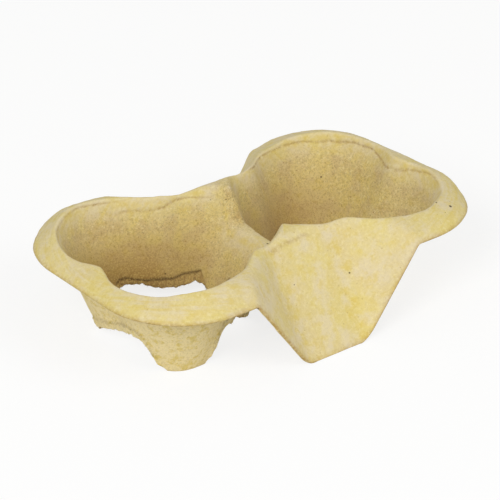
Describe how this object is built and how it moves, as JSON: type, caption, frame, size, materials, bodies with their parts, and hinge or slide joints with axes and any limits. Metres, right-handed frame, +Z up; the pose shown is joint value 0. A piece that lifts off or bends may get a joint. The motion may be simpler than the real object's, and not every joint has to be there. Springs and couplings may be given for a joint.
{
  "type": "moulded pulp cup carrier",
  "caption": "One-piece moulded pulp carrier with a pair of open cup pockets, a sloping rim, side valleys and arched feet.",
  "frame": {"origin": "middle of the footprint, on the plane that the feet stand on", "axes": "+X along the carrier through both pockets, +Y across it, +Z up"},
  "size_m": [0.215, 0.133, 0.054],
  "materials": {
    "pulp": "matt moulded paper pulp, straw coloured"
  },
  "bodies": {
    "root": {"cup_carrier": "pulp"}
  },
  "joints": []
}
